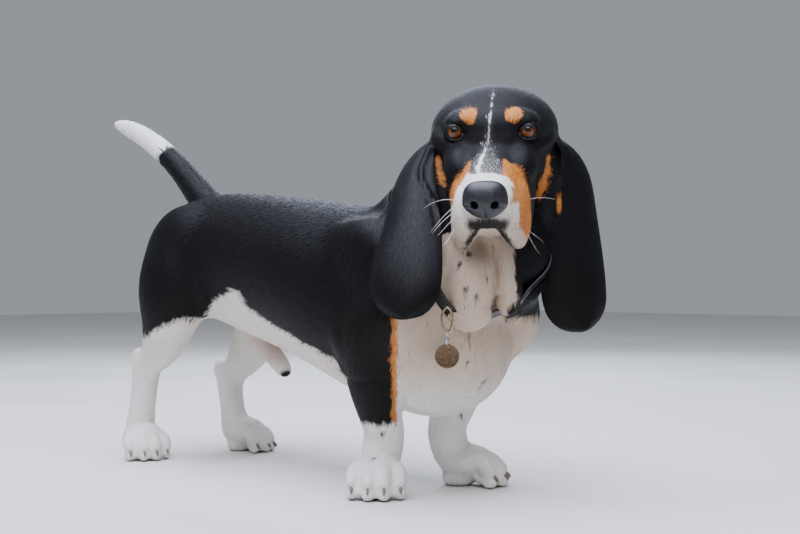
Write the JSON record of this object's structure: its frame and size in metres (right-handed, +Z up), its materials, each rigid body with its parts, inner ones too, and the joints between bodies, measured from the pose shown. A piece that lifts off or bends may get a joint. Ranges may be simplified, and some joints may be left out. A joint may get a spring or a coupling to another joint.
{
  "type": "basset hound model",
  "caption": "Life-size standing basset hound with its head turned to its right: long hanging ears, loose throat, low body, raised tail, plain collar with a ring and a blank tag.",
  "frame": {"origin": "on the floor under the middle of the box round the whole model, which stands on its four paws", "axes": "+X is the way the body faces, from tail to chest, and the model's longest extent; +Y is the hound's left side; +Z is up"},
  "size_m": [0.853, 0.2972, 0.4981],
  "materials": {
    "torso": "short glossy black fur",
    "neck": "short glossy black fur",
    "head": "short fur, black, tan and white",
    "tail": "short fur, black with a white end",
    "ear_left": "short glossy black fur",
    "ear_right": "short glossy black fur",
    "eye_left": "wet, clear and glossy, amber brown",
    "eye_right": "wet, clear and glossy, amber brown",
    "nose": "moist black nose leather",
    "shoulder_left": "short glossy black fur",
    "shoulder_right": "short glossy black fur",
    "foreleg_left": "short white fur with grey flecks",
    "foreleg_right": "short white fur with grey flecks",
    "paw_front_left": "short white fur with grey flecks",
    "paw_front_right": "short white fur with grey flecks",
    "thigh_left": "short glossy black fur",
    "thigh_right": "short glossy black fur",
    "hindleg_left": "short white fur with grey flecks",
    "hindleg_right": "short white fur with grey flecks",
    "paw_hind_left": "short white fur with grey flecks",
    "paw_hind_right": "short white fur with grey flecks",
    "collar": "flat black strap",
    "collar_ring": "worn satin metal",
    "tag_ring": "bright round wire",
    "tag": "dull worn metal, blank"
  },
  "bodies": {
    "root": {"torso": "torso", "neck": "neck", "head": "head", "tail": "tail", "ear_left": "ear_left", "ear_right": "ear_right", "eye_left": "eye_left", "eye_right": "eye_right", "nose": "nose", "shoulder_left": "shoulder_left", "shoulder_right": "shoulder_right", "foreleg_left": "foreleg_left", "foreleg_right": "foreleg_right", "paw_front_left": "paw_front_left", "paw_front_right": "paw_front_right", "thigh_left": "thigh_left", "thigh_right": "thigh_right", "hindleg_left": "hindleg_left", "hindleg_right": "hindleg_right", "paw_hind_left": "paw_hind_left", "paw_hind_right": "paw_hind_right", "collar": "collar", "collar_ring": "collar_ring", "tag_ring": "tag_ring", "tag": "tag"}
  },
  "joints": []
}
